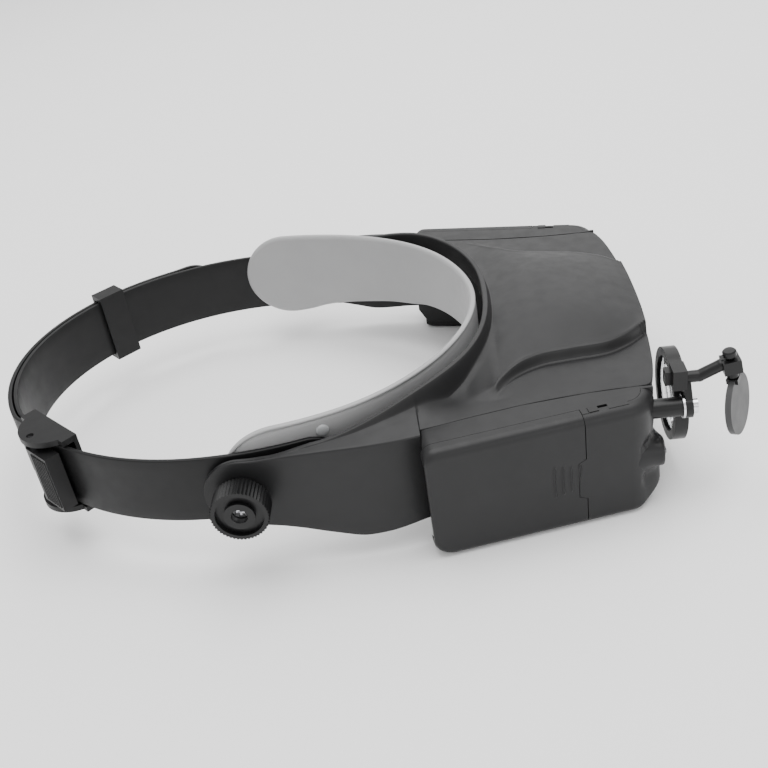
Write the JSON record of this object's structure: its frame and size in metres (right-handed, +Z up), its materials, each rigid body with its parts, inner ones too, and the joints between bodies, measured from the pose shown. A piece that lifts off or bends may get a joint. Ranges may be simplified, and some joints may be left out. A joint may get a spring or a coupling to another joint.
{
  "type": "head visor magnifier",
  "caption": "Head-worn magnifier: tilting hood with lens window and lamp pods, adjustable headband with forehead pad, and a swing-out loupe.",
  "frame": {"origin": "on the surface the object rests on, under the middle of its whole length and width; the middle of the headband loop is 51.8 mm behind and 34 mm above it", "axes": "+Z up, -Y the way the wearer looks, +X to the wearer's left"},
  "size_m": [0.2022, 0.2982, 0.06],
  "materials": {
    "hood_plastic": "satin dark grey moulding, fine spark-eroded grain",
    "strap_plastic": "soft satin black strap plastic",
    "black_plastic": "satin black moulding",
    "pad_vinyl": "soft pale grey vinyl, slightly glossy",
    "plated_steel": "bright plated steel",
    "clear_lens": "clear polished acrylic",
    "led_epoxy": "clear lamp epoxy",
    "grey_lens": "smoked grey lens, polished",
    "cell_jacket": "plain metallic sleeve"
  },
  "bodies": {
    "headband": {"strap_right": "strap_plastic", "strap_left": "strap_plastic", "forehead_pad": "pad_vinyl", "pad_stud_right": "black_plastic", "pad_stud_left": "black_plastic", "keeper_loop": "strap_plastic", "buckle_body": "strap_plastic", "buckle_pin": "plated_steel", "pivot_screw_right": "plated_steel", "pivot_screw_left": "plated_steel", "pivot_nut_right": "plated_steel", "pivot_nut_left": "plated_steel", "pivot_washer_right": "black_plastic", "pivot_washer_left": "black_plastic"},
    "hood": {"visor_shell": "hood_plastic", "side_arm_right": "hood_plastic", "side_arm_left": "hood_plastic", "front_bezel": "hood_plastic", "main_lens": "clear_lens", "pod_body_right": "hood_plastic", "pod_body_left": "hood_plastic", "battery_cells_right": "cell_jacket", "battery_cells_left": "cell_jacket", "battery_contacts_right": "plated_steel", "battery_contacts_left": "plated_steel", "switch_body_right": "plated_steel", "switch_body_left": "plated_steel", "led_right": "led_epoxy", "led_left": "led_epoxy", "led_holder_right": "black_plastic", "led_holder_left": "black_plastic", "pod_screws_right": "plated_steel", "pod_screws_left": "plated_steel", "loupe_shaft": "black_plastic", "loupe_washer": "plated_steel", "loupe_screw": "plated_steel"},
    "knob_right_turn": {"knob_right": "black_plastic"},
    "knob_left_turn": {"knob_left": "black_plastic"},
    "door_right": {"battery_door_right": "hood_plastic"},
    "door_left": {"battery_door_left": "hood_plastic"},
    "switch_right": {"switch_slider_right": "black_plastic"},
    "switch_left": {"switch_slider_left": "black_plastic"},
    "cam_lever": {"buckle_cam": "strap_plastic"},
    "aux_lens_flap": {"aux_lens_frame": "black_plastic", "aux_lens": "clear_lens"},
    "loupe": {"loupe_lever": "black_plastic", "loupe_clamp": "black_plastic", "loupe_ring": "black_plastic", "loupe_lens": "clear_lens"},
    "loupe_arm": {"loupe_tube": "black_plastic", "tube_clamp": "black_plastic"},
    "thumbscrew": {"clamp_thumbscrew": "black_plastic"},
    "front_lens": {"small_lens": "grey_lens", "small_lens_stem": "black_plastic"}
  },
  "joints": [
    {"name": "hood_tilt", "type": "hinge", "parent": "headband", "child": "hood", "pos_m": [0, 0.03864, 0.034], "axis": [-1, 0, 0], "range_deg": [-8, 75]},
    {"name": "knob_right_spin", "type": "hinge", "parent": "headband", "child": "knob_right_turn", "pos_m": [-0.095, 0.03864, 0.034], "axis": [1, 0, 0], "range_deg": [0, 270]},
    {"name": "knob_left_spin", "type": "hinge", "parent": "headband", "child": "knob_left_turn", "pos_m": [0.095, 0.03864, 0.034], "axis": [1, 0, 0], "range_deg": [0, 270]},
    {"name": "door_right_slide", "type": "slide", "parent": "hood", "child": "door_right", "axis": [-0.2079, 0.9781, 0], "range_m": [0, 0.048]},
    {"name": "door_left_slide", "type": "slide", "parent": "hood", "child": "door_left", "axis": [0.2079, 0.9781, 0], "range_m": [0, 0.048]},
    {"name": "switch_right_slide", "type": "slide", "parent": "hood", "child": "switch_right", "axis": [0.2079, -0.9781, 0], "range_m": [0, 0.0035]},
    {"name": "switch_left_slide", "type": "slide", "parent": "hood", "child": "switch_left", "axis": [-0.2079, -0.9781, 0], "range_m": [0, 0.0035]},
    {"name": "cam_lever_flip", "type": "hinge", "parent": "headband", "child": "cam_lever", "pos_m": [-0.06105, 0.12256, 0.034], "axis": [0, 0, -1], "range_deg": [0, 95]},
    {"name": "aux_lens_flip", "type": "hinge", "parent": "hood", "child": "aux_lens_flap", "pos_m": [0, -0.09816, 0.0405], "axis": [1, 0, 0], "range_deg": [0, 80]},
    {"name": "loupe_swing", "type": "hinge", "parent": "hood", "child": "loupe", "pos_m": [-0.0703, -0.12316, 0.04], "axis": [0, -1, 0], "range_deg": [-10, 150]},
    {"name": "loupe_arm_turn", "type": "hinge", "parent": "loupe", "child": "loupe_arm", "pos_m": [-0.067, -0.12816, 0.0502], "axis": [0, -1, 0], "range_deg": [-90, 90]},
    {"name": "thumbscrew_spin", "type": "hinge", "parent": "loupe_arm", "child": "thumbscrew", "pos_m": [-0.067, -0.13847, 0.05764], "axis": [0, 0.1736, 0.9848], "range_deg": [0, 270]},
    {"name": "front_lens_turn", "type": "hinge", "parent": "loupe_arm", "child": "front_lens", "pos_m": [-0.067, -0.14003, 0.04878], "axis": [0, 0.1736, 0.9848], "range_deg": [-90, 90]}
  ]
}
